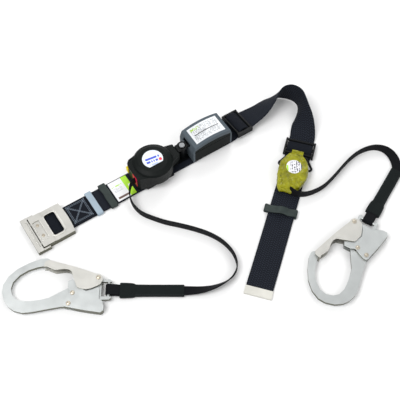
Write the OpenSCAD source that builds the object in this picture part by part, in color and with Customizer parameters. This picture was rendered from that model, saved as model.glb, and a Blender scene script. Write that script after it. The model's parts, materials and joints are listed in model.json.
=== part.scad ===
// Work positioning belt with two shock absorbing lanyards: one retracts into a
// reel, the other hangs from a D-ring.  The whole set lies flat, +Z up, with the
// origin under the middle of its box.  Sizes are in millimetres.

/* [Belt] */
// Width of the waist belt webbing
belt_w = 50; // [46:1:52]
// Thickness of the webbing
belt_t = 2.8; // [2:0.1:3]
// Direction of the left run of the belt
left_heading = 33; // [30:0.5:36]
// Direction of the right run of the belt
right_heading = -105.5; // [-108:0.5:-103]

/* [Buckle] */
// Height of the buckle body
buckle_h = 12; // [11:0.5:14]
// Width of the buckle body
buckle_w = 70; // [66:1:72]
// Length of the buckle body
buckle_l = 64; // [60:1:68]

/* [Reel] */
// Radius of the reel housing
reel_r = 38.5; // [37:0.5:40]
// Height of the top of the reel above the floor
reel_top = 49; // [46:1:52]
// Radius of the spool shaft
shaft_r = 4; // [3:0.5:5]

/* [Absorber] */
// Length of the absorber case
absorber_l = 90; // [80:1:96]
// Height of the crown of the absorber case
absorber_top = 50; // [44:1:54]
// Radius of the top rim of the case, seen from the side
absorber_crown_r = 130; // [110:5:180]

/* [Sliders] */
// Width of the belt sliders over their side rails
slider_w = 60; // [58:1:62]
// Length of the belt sliders
slider_l = 35; // [32:1:38]

/* [Hooks] */
// Thickness of the forged hook plate
hook_plate_t = 6; // [5:0.5:6]
// Overall thickness across the gate channel
hook_t = 17; // [16:0.5:18]
// Radius of the hook pins
pin_r = 2.4; // [2:0.1:3]
// Turn of the second hook against the first
hook_2_turn = 58.5; // [55:0.5:62]

/* [Lanyard tapes] */
// Width of the lanyard tapes
tape_w = 18; // [16:0.5:20]
// Thickness of the lanyard tapes
tape_t = 2.2; // [1.8:0.1:3]
// Width of the protective sleeves
sleeve_w = 23; // [22:1:25]

/* [Hidden] */
$fn = 64;

gap = 0.4;                        // clearance between parts that move past each other
belt_z = 1.2;                     // underside of the belt
belt_top = belt_z + belt_t;
left_start = [-249, -48];         // where the left run leaves the buckle
left_l = 359.6;                    // length of the flat left run
slider_2_at = [199.5, 108];       // middle of the right slider
right_l = 314;                    // from the right slider to the tip
hook_1_at = [-179, -175];         // gate pin of hook 1
hook_2_at = [289, -62];           // gate pin of hook 2
reel_u = 191.5;                    // reel centre along the left run
reel_v = -0.5;                    // reel centre across the left run

// A place on the left run: u along the belt, v to its left
module on_left(u = 0, v = 0, z = 0)
    translate([left_start[0], left_start[1], z]) rotate(left_heading)
        translate([u, v]) children();

// A place on the right run: x along the belt from the slider, y to its left
module on_right(x = 0, y = 0, z = 0)
    translate([slider_2_at[0], slider_2_at[1], z]) rotate(right_heading)
        translate([x, y]) children();

module on_reel(z = 0) on_left(reel_u, reel_v, z) children();

module on_hook(second)
    if (second) translate(hook_2_at) rotate(hook_2_turn) children();
    else translate(hook_1_at) children();

// A block by its lowest and highest corners
module block(low, high) translate(low) cube(high - low);

module post(x, y, z, h, r) translate([x, y, z]) cylinder(h = h, r = r);

// Points on an arc about c, from angle a to angle b
function arc(c, r, a, b, n = 8) =
    [for (i = [0:n]) let (t = a + (b - a) * i / n) c + r * [cos(t), sin(t)]];

// ---------------------------------------------------------------- sweeps
// A Catmull-Rom curve through a list of points, k steps a span
function spline_at(p, i, t) =
    let (n = len(p) - 1,
         a = p[max(i - 1, 0)], b = p[i], c = p[min(i + 1, n)], d = p[min(i + 2, n)])
    0.5 * (2 * b + (c - a) * t + (2 * a - 5 * b + 4 * c - d) * t * t
        + (3 * b - a - 3 * c + d) * t * t * t);
function smooth_path(p, k) =
    concat([for (i = [0:len(p) - 2], j = [0:k - 1]) spline_at(p, i, j / k)],
        [p[len(p) - 1]]);

function unit(v) = v / norm(v);
function heading(p, i) = unit([
    p[min(i + 1, len(p) - 1)][0] - p[max(i - 1, 0)][0],
    p[min(i + 1, len(p) - 1)][1] - p[max(i - 1, 0)][1], 0]);

// Cross-section of a strap: its width leans from level to upright by the roll
function strap_ring(c, dir, roll, w, t) =
    let (side = [-dir[1], dir[0], 0],
         across = side * cos(roll) + [0, 0, sin(roll)],
         up = [0, 0, cos(roll)] - side * sin(roll),
         e = t * 0.35)
    [for (k = [[-w / 2, -e], [-w / 2 + e, -t / 2], [w / 2 - e, -t / 2], [w / 2, -e],
               [w / 2, e], [w / 2 - e, t / 2], [-w / 2 + e, t / 2], [-w / 2, e]])
        c + across * k[0] + up * k[1]];

// A strap along a route of [x, y, z, roll] points
module strap(route, w, t, k = 1) {
    p = smooth_path(route, k);
    n = len(p);
    pts = [for (i = [0:n - 1])
        each strap_ring([p[i][0], p[i][1], p[i][2]], heading(p, i), p[i][3], w, t)];
    first = [for (j = [0:7]) j];
    last = [for (j = [0:7]) (n - 1) * 8 + 7 - j];
    sides = [for (i = [0:n - 2], j = [0:7])
        let (a = i * 8 + j, b = i * 8 + (j + 1) % 8)
        each [[a, a + 8, b + 8], [a, b + 8, b]]];
    polyhedron(pts, concat([first], sides, [last]), convexity = 10);
}

// ---------------------------------------------------------------- belt
// The turn of the belt: a half twist, so that its other face is up on the right run
turn_route = [
    [52.7, 147.9, 2.6, 0], [62, 154.8, 4, -3], [77, 166.2, 7, -8],
    [91, 175.3, 7.8, -10], [104, 183.5, 10.2, -16], [114, 190, 12, -21], [125, 198.5, 15, -29],
    [136, 209, 18.8, -39], [146.6, 219.3, 22, -50], [157.5, 228, 24.8, -64],
    [170, 233.5, 26, -78], [185, 234, 26.4, -88], [197.5, 228.5, 26.4, -92],
    [205.5, 218, 26.4, -96], [208.2, 203.5, 26, -102], [208, 186, 24, -116],
    [208.2, 168, 17, -142], [208.4, 153, 9.6, -160], [208, 141, 4.6, -173],
    [205.9, 130.9, 2.6, -180]
];

module belt_left() color("midnightblue") {
    on_left() block([-40, -belt_w / 2, belt_z], [left_l, belt_w / 2, belt_top]);
    on_left() block([-40, -24, belt_top], [-12, 24, 8.2]);
}

module belt_turn() color("midnightblue") strap(turn_route, belt_w, belt_t, 3);

module belt_right() color("midnightblue") translate([0, 0, belt_z])
    linear_extrude(belt_t) on_right() polygon([
        [-23.8, -25.8], [0, -25], [150, -28], [right_l, -33],
        [right_l, 17], [150, 22], [0, 25], [-23.8, 24.2]]);

// Second layer of webbing, sewn down where the belt returns from the buckle
module stitch_patch() color("slategray")
    on_left() block([4, -24, belt_top], [50, 24, belt_top + 1.6]);

module belt_tip() color("silver") on_right(right_l + 6, -8) difference() {
    block([-8, -25.5, 0], [8, 25.5, 5.4]);
    block([-9, -25.1, 1], [-6, 25.1, 4.4]);
}

module belt_label() color("white")
    on_left() block([100, -22.7, belt_top], [140, 22.7, belt_top + 0.6]);

// A loop round the belt, with its length along x
module keeper_loop(l, w, h, wall) difference() {
    translate([0, 0, 0]) block([-l / 2, -w / 2, 0], [l / 2, w / 2, h]);
    block([-l, -w / 2 + wall, 0.8], [l, w / 2 - wall, h - 1.8]);
}

module sewn_keeper() color("lightsteelblue") on_left(58.5) keeper_loop(13, 56, 8.4, 2.4);
module keeper_left() color("darkslategray") on_left(89) keeper_loop(16, 58, 9, 2.8);
module keeper_right() color("darkslategray") on_right(148.5, -5.5) keeper_loop(18, 64, 9, 3);

// ---------------------------------------------------------------- buckle
buckle_v = -1;                    // the buckle sits a little off the belt's middle
buckle_left = -buckle_l;

module on_buckle() on_left(0, buckle_v) children();

module buckle_frame() color("gainsboro") on_buckle() difference() {
    linear_extrude(buckle_h) polygon(concat(
        [[buckle_left, -buckle_w / 2]], arc([-213, 0], 216, -9.3, 9.3, 10),
        [[buckle_left, buckle_w / 2]]));
    block([buckle_left - 1, -26.5, 1], [12, 26.5, 4.5]);       // belt channel
    block([buckle_left - 1, -27, 4], [-10, 27, 9]);            // inner room
    block([-37.5, -24.5, 8], [-14.5, 24.5, 20]);               // window
    block([buckle_left - 1, -40, 9], [-39, 40, 20]);           // seat of the cover
}

module buckle_cover() color("whitesmoke") on_buckle() difference() {
    block([buckle_left, -buckle_w / 2, 9], [-39, buckle_w / 2, buckle_h + 1.5]);
    block([-61, -21, buckle_h], [-47, 21, 20]);
    for (v = [-12, 12]) post(-54, v, 0, 30, 2);
}

module buckle_rivets() color("silver") on_buckle() for (v = [-12, 12]) {
    post(-54, v, 9, buckle_h - 9, 2);
    post(-54, v, buckle_h, 1.2, 3.2);
}

// The plate that the fingers pull away from the buckle, with a wing on each side
module release_plate() color("gainsboro") on_buckle() {
    difference() {
        block([-78, -39.5, 1], [buckle_left - 1.5, 39.5, 11]);
        block([-71, -30, 9.6], [-68.5, 30, 12]);
    }
    for (s = [-1, 1]) mirror([0, s < 0 ? 1 : 0, 0]) {
        block([buckle_left - 1.5, buckle_w / 2 + gap, 1], [-52, 39.5, 10]);
        block([buckle_left - 1.5, 20, 5], [-50, 25.5, 8.4]);
    }
}

// Toothed bar that bites the belt; it moves with the release plate
module slide_bar() color("silver") on_buckle() difference() {
    block([-50, -25.5, 4.9], [-42, 25.5, 8.4]);
    for (i = [0:15]) translate([-42.4, -24 + 3.2 * i, 4]) rotate(45) cube([1, 1, 6]);
}

module release_springs() color("silver") on_buckle() for (v = [-15, 15], i = [0:3])
    translate([-61.2 + 1.7 * i, v, 6.7]) rotate([0, 90, 0])
        rotate_extrude() translate([1.2, 0]) circle(0.35, $fn = 16);

// ---------------------------------------------------------------- reel
reel_base = belt_top + 0.2;
reel_split = 27;                  // height of the joint between the shells
reel_rim = 42;                    // height where the wall turns into the domed lid
mouth_y = -11;                    // middle of the tape slot
mouth_z = 29;                     // height of the middle of the tape slot
wall_t = 2.5;

// Saddle on the belt, with the tower that carries the link
module reel_bracket() color("dimgray") on_reel() {
    block([-30, -27.1, reel_base], [30, 28.1, reel_base + 1.5]);
    for (y = [[-27.1, -25.1], [26.1, 28.1]]) block([-30, y[0], 0.2], [30, y[1], reel_base]);
    block([30, -12, reel_base], [post_x + 9, 14, reel_base + 1.5]);
    post(post_x, post_y, reel_base + 1.5, ring_low - reel_base - 1.6, 9);
}

// Outlines of the housing beside its disc: a block for the tape mouth, a lug for the link
module mouth_outline() polygon([[-46.5, -19], [-42, -23.5], [-20, -31], [-14, 0],
    [-20, 31], [-38, 27.5], [-44, 22], [-46.5, 13]]);
module lug_outline() polygon([[30, -20], [52, -12.5], [53.5, -11], [53.5, 15], [52, 16.5],
    [30, 22]]);
module mouth_room() polygon([[-43.5, -17.8], [-41, -20.3], [-22, -27], [-22, 27],
    [-36.6, 24.8], [-43.5, 12]]);

screw_turns = [30, 100, 300];
screw_out = 37.25;                // the screws stand inside the wall
screw_r = 0.9;

shell_foot = reel_base + 1.6;
shell_wall = shell_foot + 11;     // the housing narrows below this height
lid_split = reel_split + 0.1;
lug_top = reel_rim - 6;

module screw_holes() for (a = screw_turns) rotate(a)
    post(screw_out, 0, reel_split - 9, 17, screw_r + 0.05);

module reel_lower_shell() color("darkslategray") on_reel() difference() {
    union() {
        rotate_extrude() polygon([[0, shell_foot], [32, shell_foot],
            [reel_r, shell_wall], [reel_r, reel_split], [0, reel_split]]);
        translate([0, 0, shell_foot]) linear_extrude(reel_split - shell_foot)
            mouth_outline();
        translate([0, 0, shell_wall + 2]) linear_extrude(reel_split - shell_wall - 2)
            lug_outline();
    }
    rotate_extrude() polygon([[0, shell_foot + wall_t], [28.5, shell_foot + wall_t],
        [28.5, shell_wall], [reel_r - wall_t, shell_wall],
        [reel_r - wall_t, 60], [0, 60]]);
    translate([0, 0, shell_wall]) linear_extrude(30) mouth_room();
    post(0, 0, 0, 12, shaft_r);
    block([-50, mouth_y - 8, mouth_z - 13.4], [-40, mouth_y + 8, 60]);
    block([-50, button_y - 4.4, mouth_z - 7], [-37.8, button_y + 4.4, 60]);
    screw_holes();
}

module reel_upper_shell() color("darkslategray") on_reel() difference() {
    union() {
        rotate_extrude() polygon([[0, lid_split], [reel_r, lid_split],
            [reel_r, reel_rim], [reel_r - 2.5, reel_rim + 3],
            [reel_r - 10, reel_top], [0, reel_top]]);
        translate([0, 0, lid_split]) linear_extrude(reel_rim - lid_split)
            mouth_outline();
        translate([0, 0, lid_split]) linear_extrude(lug_top - lid_split)
            lug_outline();
    }
    rotate_extrude() polygon([[0, 20], [reel_r - wall_t, 20],
        [reel_r - wall_t, reel_rim - 2], [reel_r - 11, reel_rim - 2],
        [reel_r - 11, reel_top - wall_t], [0, reel_top - wall_t]]);
    translate([0, 0, 20]) linear_extrude(reel_rim - 22) mouth_room();
    block([-50, mouth_y - 8, 8], [-40, mouth_y + 8, mouth_z + 12]);
    block([-50, button_y - 4.4, 22], [-37.8, button_y + 4.4, mouth_z + 7.4]);
    translate([0, 0, reel_top - 0.6]) cylinder(h = 5, r = sticker_r + 0.4);
    screw_holes();
}

module reel_screws() color("silver") on_reel() for (a = screw_turns) rotate(a)
    post(screw_out, 0, reel_split - 9, 17, screw_r);

module reel_shaft() color("silver") on_reel()
    post(0, 0, reel_base + 1.6, reel_top - wall_t - reel_base - 1.8, shaft_r);

drum_z = 12;
drum_h = 24;
flange_r = 27.5;

module reel_drum() color("gray") on_reel(drum_z) difference() {
    union() {
        cylinder(h = drum_h, r = 9);
        cylinder(h = 1.6, r = flange_r);
        translate([0, 0, drum_h - 1.6]) cylinder(h = 1.6, r = flange_r);
    }
    translate([0, 0, -1]) cylinder(h = 30, r = shaft_r + 0.05);
}

module reel_tape_roll() color("black") on_reel(drum_z + 2) difference() {
    cylinder(h = 20, r = 26);
    translate([0, 0, -1]) cylinder(h = 30, r = 9);
}

// Ratchet wheel on top of the drum, with teeth that lean one way
ratchet_teeth = 16;
ratchet_z = drum_z + drum_h;
module reel_ratchet() color("silver") on_reel(ratchet_z) difference() {
    linear_extrude(2.2) polygon([for (i = [0:ratchet_teeth - 1], k = [0, 1])
        let (a = (i + 0.92 * k) * 360 / ratchet_teeth, r = k == 0 ? 22 : 25.5)
        r * [cos(a), sin(a)]]);
    translate([0, 0, -1]) cylinder(h = 6, r = shaft_r + 0.05);
}

// Flat spiral spring below the drum, seen as its wound pack
module reel_power_spring() color("silver") on_reel(8.6) difference() {
    cylinder(h = 3, r = 24);
    translate([0, 0, -1]) cylinder(h = 6, r = shaft_r + 1);
}

// The pawl stands just clear of the teeth; the lock button swings it further out
pawl_at = [-31.5, 15];
module reel_pawl() color("silver") on_reel(ratchet_z + 0.3) difference() {
    linear_extrude(1.8) polygon([
        [-34.3, 13.5], [-34.3, 16.4], [-31.5, 18], [-23.5, 22], [-17.5, 23.2],
        [-15.8, 21.2], [-20, 19.2], [-25, 16], [-29.3, 12.4], [-32, 12]]);
    post(pawl_at[0], pawl_at[1], -1, 6, pawl_pin_r + 0.05);
}

pawl_pin_r = 1.2;
module reel_pawl_pin() color("silver") on_reel()
    post(pawl_at[0], pawl_at[1], ratchet_z - 6, 10, pawl_pin_r);

button_y = 16.5;
module reel_lock_button() color("gold") on_reel()
    block([-48.5, button_y - 4, mouth_z - 6.6], [-41, button_y + 4, mouth_z + 7]);

module reel_mouth() color("crimson") on_reel() difference() {
    block([-47.5, mouth_y - 7.6, mouth_z - 13], [-40.2, mouth_y + 7.6, mouth_z + 11.6]);
    block([-50, mouth_y - 2.4, mouth_z - 10], [-30, mouth_y + 2.4, mouth_z + 9.6]);
}

sticker_r = 20;
module reel_sticker() color("white") on_reel(reel_top - 0.6) linear_extrude(1)
    difference() {
        circle(sticker_r);
        translate([-30, -32]) square([60, 18]);
    }

// ---------------------------------------------------------------- link
post_x = 66.5;                    // post of the link, in the reel's own frame
post_y = 1.5;
ring_low = 34.4;                   // underside of the ring

module link_post() color("silver") on_reel() {
    post(post_x, post_y, ring_low - 0.1, 7, 4.4);
    post(post_x, post_y, ring_low + 4.4, 2, 5.6);
}

// Ring that takes the load from the reel's lug to the absorber
module link_ring() color("black") on_reel(ring_low) linear_extrude(3.8) difference() {
    union() {
        translate([post_x, post_y]) circle(10.4);
        translate([53.8, post_y - 8]) square([post_x - 53.8, 16]);
        translate([post_x, post_y - 7]) square([16, 14]);
    }
    translate([post_x, post_y]) circle(6.6);
    translate([post_x + 11.5, post_y - 3]) square([3, 6]);
}

// ---------------------------------------------------------------- absorber
absorber_u = 268;                 // start of the case along the left run
absorber_split = 30;

// Side view of the case: x along the belt, y up
module absorber_side(inset = 0) {
    l = absorber_l;
    top = absorber_top;
    intersection() {
        polygon([[inset, inset], [l - inset, inset], [l - inset, 30],
            [l - 7 - inset, top + 5], [8 + inset, top + 5], [inset, 30]]);
        translate([l / 2, top - absorber_crown_r]) circle(absorber_crown_r - inset, $fn = 180);
    }
}

// Turns a side view into a solid of the given width, centred across the belt
module across_belt(w) translate([0, w / 2, 0]) rotate([90, 0, 0])
    linear_extrude(w) children();

module absorber_shell() difference() {
    across_belt(51) absorber_side();
    across_belt(46) absorber_side(2.5);
}

module absorber_base() color("slategray") on_left(absorber_u, 0, belt_top) {
    intersection() {
        absorber_shell();
        block([-1, -30, -1], [200, 30, absorber_split]);
    }
}

module absorber_cover() color("lightslategray") on_left(absorber_u, 0, belt_top)
    difference() {
        intersection() {
            absorber_shell();
            block([-1, -30, absorber_split], [200, 30, 90]);
        }
        block([-10, -9, absorber_split - 1], [6, 14, absorber_split + 8]);
    }

module absorber_label() color("white") on_left(absorber_u, 0, belt_top)
    across_belt(38) intersection() {
        difference() {
            translate([absorber_l / 2, absorber_top - absorber_crown_r])
                circle(absorber_crown_r + 0.5, $fn = 180);
            translate([absorber_l / 2, absorber_top - absorber_crown_r])
                circle(absorber_crown_r, $fn = 180);
        }
        translate([12, 30]) square([absorber_l - 24, 40]);
    }

// Load webbing folded to and fro; it tears open when it takes a fall
fold_pitch = 5.2;
module tear_webbing() color("dimgray") on_left(absorber_u, 0, belt_top + 5) {
    for (i = [0:4]) block([12, -20, fold_pitch * i], [76, 20, fold_pitch * i + 3]);
    for (i = [0:3]) block([i % 2 == 0 ? 76 : 9, -20, fold_pitch * i],
        [i % 2 == 0 ? 79 : 12, 20, fold_pitch * (i + 1) + 3]);
}

// ---------------------------------------------------------------- sliders
// Frame: two side rails, two end bars and the middle bar that the webbing wraps
module slider_frame() {
    for (s = [-1, 1]) {
        block([-slider_l / 2, s > 0 ? 26.4 : -slider_w / 2, 0.2],
            [slider_l / 2, s > 0 ? slider_w / 2 : -26.4, 11]);
        translate([s * (slider_l / 2 - 2.6), 0, 8.5]) rotate([90, 0, 0])
            cylinder(h = 53, r = 2.6, center = true);
    }
    block([-2.6, -26.6, 5.6], [2.6, 26.6, 9]);
}

// Webbing that goes up, over the middle bar and down again
module slider_wrap(w) across_belt(w) difference() {
    polygon([[-11.4, 4.7], [-11.4, 9], [-8, 12.4], [-3, 14], [3, 14], [8, 12.4],
        [11.4, 9], [11.4, 4.7]]);
    polygon([[-8.8, 4], [-8.8, 8.4], [-6, 10.6], [-3, 11.4], [3, 11.4], [6, 10.6],
        [8.8, 8.4], [8.8, 4]]);
}

// The left slider leans with the belt, which starts to twist inside it
module on_slider_1() translate([77, 166.2, 7]) rotate([0, 0, left_heading])
    rotate([-8, 0, 0]) translate([0, 0, -belt_z - belt_t / 2]) children();

module slider_1_frame() color("black") on_slider_1() slider_frame();
module slider_1_webbing() color("midnightblue") on_slider_1() slider_wrap(49);
module slider_2_frame() color("black") on_right() slider_frame();
module slider_2_webbing() color("midnightblue") on_right() {
    slider_wrap(49);
    block([9, -13, 4.8], [16, 13, 5.4]);
}

// ---------------------------------------------------------------- second absorber
ring_z = 6.6;
ring_t = 4;
ring_outer = [[19, -19], [42, -34.2], [46, -34.4], [50, -30.5], [50, 30.5], [46, 34.4],
    [42, 34.2], [19, 19]];
ring_inner = [[23, -16.8], [43.4, -30], [46, -29.6], [46, 29.6], [43.4, 30], [23, 16.8]];

module d_ring() color("black") on_right(0, 0, ring_z) linear_extrude(ring_t) difference() {
    polygon(ring_outer);
    polygon(ring_inner);
}

module pouch_outline() polygon([
    [52, -31], [76, -31], [104, -26], [111, -20], [111, 4], [96, 21], [78, 29], [56, 30],
    [52, 28]]);

// Side view of the bag: full height at its head, sloping down to its foot
module pouch_side(inset = 0) polygon([[50 + inset, 4.4 + inset], [112 - inset, 4.4 + inset],
    [112 - inset, 10 - inset / 2], [82, 29.4 - inset], [50 + inset, 29.4 - inset]]);

// Bag of clear film round the folded webbing of the second absorber
module pouch_cover() color("yellowgreen") on_right() {
    difference() {
        intersection() {
            translate([0, 0, 4.4]) linear_extrude(25) pouch_outline();
            across_belt(80) pouch_side();
        }
        intersection() {
            block([54, -27, 5.8], [100, 16, 27]);
            across_belt(80) pouch_side(1.4);
        }
    }
    block([14, -13, 16], [26, 12, 22]);
    translate([0, 0, 11.2]) linear_extrude(18.2) polygon([
        [24, -20], [24, 13], [40, 24], [52, 28], [52, -31], [40, -27]]);
}

module pouch_webbing() color("black") on_right() {
    ends = [98, 96, 90, 84];
    for (i = [0:3]) block([57, -22, 6.2 + 5 * i], [ends[i], 14, 9.6 + 5 * i]);
    for (i = [0:2]) block([i % 2 == 0 ? ends[i + 1] - 2.6 : 54.4, -22, 6.2 + 5 * i],
        [i % 2 == 0 ? ends[i + 1] : 57, 14, 9.6 + 5 * (i + 1)]);
}

// ---------------------------------------------------------------- lanyard tapes
// Each route lists [x, y, z, roll]: roll 90 is upright on its edge, 0 is flat
tape_1_route = [
    [-121.5, 21, 28.6, 90], [-127, 16.5, 27.6, 90], [-131, 6, 23, 90], [-131, -7, 18, 90],
    [-126, -21, 13.6, 90], [-117, -32.5, 10.4, 90], [-105, -42, 9.4, 90],
    [-88, -50, 9.4, 90], [-64, -59, 9.4, 90], [-36, -66, 9.4, 90], [-8, -74, 9.4, 90],
    [18, -84, 9.4, 90], [41, -98, 9.4, 90], [58, -116, 9.4, 90], [67, -134, 9.4, 90],
    [69, -152, 9.4, 90], [61, -169, 9.2, 80], [46, -181, 8.5, 65], [25, -190, 7.2, 45],
    [1, -194.5, 5.4, 22], [-27, -195.5, 4.4, 0]
];
tape_2_route = [
    [172, 10, 11, 60], [183, 2, 12.6, 80], [195, 0, 12, 88], [208, 2, 10.5, 90],
    [226, 10, 9.4, 90], [241, 20, 9.4, 90], [254, 33, 9.4, 90], [269, 50, 9.4, 90],
    [283, 67, 9.4, 90], [298, 83, 9.4, 90], [314, 96, 9.4, 90], [331, 105, 9.4, 90],
    [348, 109, 9.4, 88], [364, 106, 9.2, 78], [376, 97, 8.4, 58], [384, 84, 6.6, 32],
    [387, 70, 5, 10], [386.4, 57, 4.4, 0]
];

module tape_1() color("black") strap(tape_1_route, tape_w, tape_t);
module tape_2() color("black") strap(tape_2_route, tape_w, tape_t);

// ---------------------------------------------------------------- hooks
// The hook lies flat.  Its own frame has the gate pin at the origin, the mouth
// towards -x and the eye towards +x.
plate_z = (hook_t - hook_plate_t) / 2;
mid_z = hook_t / 2;
lever_pin = [-50, -48.5];
stop_pin = [-44.5, -28.5];
eye_x = 18.5;                     // middle of the bar that the tape loop holds
eye_y = -20.5;
bar_r = 3;
gate_wall = 2;
lever_z = gate_wall + 0.4;
lever_wall = 1.8;

bow_outer = [
    [-97, 40], [-107, 39], [-128, 30.5], [-148, 18.5], [-162, 4], [-169.5, -12],
    [-170, -26], [-165, -42], [-156, -54], [-145, -61.5], [-130, -65.5], [-112, -63.5],
    [-90, -59], [-64, -54], [-56, -54]];
bow_inner = [
    [-53, -18], [-68, -26.5], [-86, -37], [-102, -41], [-117, -43], [-130, -43.5],
    [-143, -40], [-151, -32], [-155, -20], [-152.5, -7], [-142, 6.5], [-127, 16.5],
    [-112, 22], [-97, 25]];

module hook_outline() difference() {
    union() {
        polygon(concat(bow_outer,
            [[-50, -55], [8, -40.5], [20, -40], [23.5, -37], [23.5, -4], [20, -1], [9, -2],
             [6.5, 0], [4, 5], [0, 6.5], [-5, 4], [-6.5, -1.5], [-46, -15.5]],
            bow_inner));
        translate([-97, 32.5]) circle(7.5);
    }
    translate([6, eye_y - 14]) square([eye_x - bar_r - 6, 28]);
    translate(stop_pin) circle(pin_r + 0.9);
    translate(stop_pin + [-3.8, 0.6]) circle(pin_r + 0.9);
    translate(stop_pin) rotate(171) translate([0, -pin_r - 0.9])
        square([3.85, 2 * pin_r + 1.8]);
    circle(pin_r);
    translate(lever_pin) circle(pin_r);
}

module hook_frame(second) color("gainsboro") on_hook(second) difference() {
    translate([0, 0, plate_z]) linear_extrude(hook_plate_t) hook_outline();
    translate([eye_x - bar_r, eye_y - 14, plate_z - 1]) difference() {
        cube([20, 28, hook_plate_t + 2]);
        translate([bar_r, 14, 1 + hook_plate_t / 2]) rotate([90, 0, 0])
            cylinder(h = 40, r = bar_r, center = true);
    }
}

// Gate pin and lever pin, with their heads
module hook_pins(second) color("silver") on_hook(second) {
    for (p = [[[0, 0], 0], [lever_pin, lever_z]]) translate([p[0][0], p[0][1], 0]) {
        translate([0, 0, p[1] + 0.4]) cylinder(h = hook_t - 2 * p[1], r = pin_r);
        translate([0, 0, hook_t - p[1] + 0.3]) cylinder(h = 1, r = 4.2);
    }
}

gate_outer = [[-100, 21], [-98, 31], [-92, 34.5], [-71, 28.5], [-42, 20.5], [-20, 13],
    [-5, 7.5], [2, 7], [7, 3], [8, -5], [4, -13], [-3, -17], [-12, -21], [-21, -23],
    [-33, -20.5], [-37.5, -18.5], [-46.5, 4.5], [-49, 12], [-54, 15.5], [-62, 16.5],
    [-70, 15.5], [-79, 14.5], [-87, 17.5], [-94, 21]];
gate_spine = [[-84, 31.9], [-71, 28.5], [-42, 20.5], [-20, 13], [-14, 10.7],
    [-14.7, 8.8], [-20.7, 11.1], [-42.7, 18.5], [-71.5, 26.4], [-84, 29.6]];

module hook_gate(second) color("gainsboro") on_hook(second) difference() {
    union() {
        for (z = [0, hook_t - gate_wall]) translate([0, 0, z])
            linear_extrude(gate_wall) polygon(gate_outer);
        linear_extrude(hook_t) polygon(gate_spine);
    }
    translate([0, 0, -1]) cylinder(h = hook_t + 2, r = pin_r + 0.06);
}

lever_cheek = [[-59.5, -47], [-55, -37], [-49.5, -26], [-53.5, -17], [-53.5, -6],
    [-46, -2], [-36, -14], [-28, -21], [-20, -25.5], [-10, -22], [0, -17.5], [3, -20],
    [3, -40], [9, -44], [12, -54], [12, -61], [7, -65.5], [-20, -61.5], [-46, -56.5],
    [-56, -54.5], [-59.5, -52]];
lever_spine = [[-40, -57.7], [-20, -61.5], [7, -65.5], [12, -61], [10.5, -59.8],
    [6.3, -63.5], [-20, -59.5], [-40, -55.7]];

module hook_lever(second) color("gainsboro") on_hook(second) difference() {
    union() {
        for (z = [lever_z, hook_t - lever_z - lever_wall]) translate([0, 0, z])
            linear_extrude(lever_wall) polygon(lever_cheek);
        translate([0, 0, lever_z]) linear_extrude(hook_t - 2 * lever_z)
            polygon(lever_spine);
    }
    translate([lever_pin[0], lever_pin[1], -1]) cylinder(h = 30, r = pin_r + 0.06);
    translate([stop_pin[0], stop_pin[1], -1]) cylinder(h = 30, r = pin_r);
}

// Pin that stops the lever at both ends of its slot in the hook plate
module hook_stop_pin(second) color("silver") on_hook(second)
    translate([stop_pin[0], stop_pin[1], 0]) {
        translate([0, 0, lever_z]) cylinder(h = hook_t - 2 * lever_z, r = pin_r);
        translate([0, 0, hook_t - lever_z]) cylinder(h = 1.3, r = 4.2);
    }

// The gate's two torsion coils and the lever's compression coil
module hook_springs(second) color("silver") on_hook(second) {
    for (z = [2.9, 4.1, hook_t - 4.1, hook_t - 2.9]) translate([0, 0, z])
        rotate_extrude() translate([3.6, 0]) circle(0.5, $fn = 16);
    for (i = [0:3]) translate([-22, -53.5 + 1.4 * i, mid_z]) rotate([90, 0, 0])
        rotate_extrude() translate([2.2, 0]) circle(0.4, $fn = 16);
}

// Loop of tape through the eye: a bend round the bar, closing to a doubled tape
module tape_loop(second) color("black") on_hook(second) translate([0, eye_y, 0])
    across_belt(sleeve_w) difference() {
        union() {
            translate([eye_x, mid_z]) circle(bar_r + 3);
            polygon([[eye_x, mid_z - 6], [eye_x, mid_z + 6], [40, 9.6], [60, 7], [60, 2],
                [40, 1.4], [26, 1.8]]);
        }
        translate([eye_x, mid_z]) circle(bar_r + gap);
        translate([eye_x, mid_z - bar_r - gap]) square([9, 2 * (bar_r + gap)]);
    }

// Protective sleeve with its wide end band
module tape_sleeve(second) color("darkslategray") on_hook(second)
    translate([0, eye_y, 0]) difference() {
        union() {
            block([64, -sleeve_w / 2, 1.2], [153, sleeve_w / 2, 7.6]);
            block([38, -14.5, 0.4], [64, 14.5, 10.6]);
        }
        block([60, -tape_w / 2 - 1, 2.9], [160, tape_w / 2 + 1, 5.9]);
        translate([-1, 0, 0]) across_belt(sleeve_w + gap) polygon([
            [30, 10.5], [41, 9.8], [61.2, 7.2], [61.2, 1.8], [41, 1.2], [30, 1.2]]);
    }

// ---------------------------------------------------------------- drawing
belt_left();
belt_turn();
belt_right();
stitch_patch();
belt_tip();
belt_label();
sewn_keeper();
keeper_left();
keeper_right();
buckle_frame();
buckle_cover();
buckle_rivets();
release_plate();
slide_bar();
release_springs();
reel_bracket();
reel_lower_shell();
reel_upper_shell();
reel_screws();
reel_shaft();
reel_drum();
reel_tape_roll();
reel_ratchet();
reel_power_spring();
reel_pawl();
reel_pawl_pin();
reel_lock_button();
reel_mouth();
reel_sticker();
link_post();
link_ring();
absorber_base();
absorber_cover();
absorber_label();
tear_webbing();
slider_1_frame();
slider_1_webbing();
slider_2_frame();
slider_2_webbing();
d_ring();
pouch_cover();
pouch_webbing();
tape_1();
tape_loop(false);  // loop_1
tape_sleeve(false);  // sleeve_1
tape_2();
tape_loop(true);  // loop_2
tape_sleeve(true);  // sleeve_2
hook_frame(false);  // hook_1_frame
hook_pins(false);  // hook_1_pins
hook_gate(false);  // hook_1_gate
hook_lever(false);  // hook_1_lever
hook_stop_pin(false);  // hook_1_stop_pin
hook_springs(false);  // hook_1_springs
hook_frame(true);  // hook_2_frame
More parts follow.
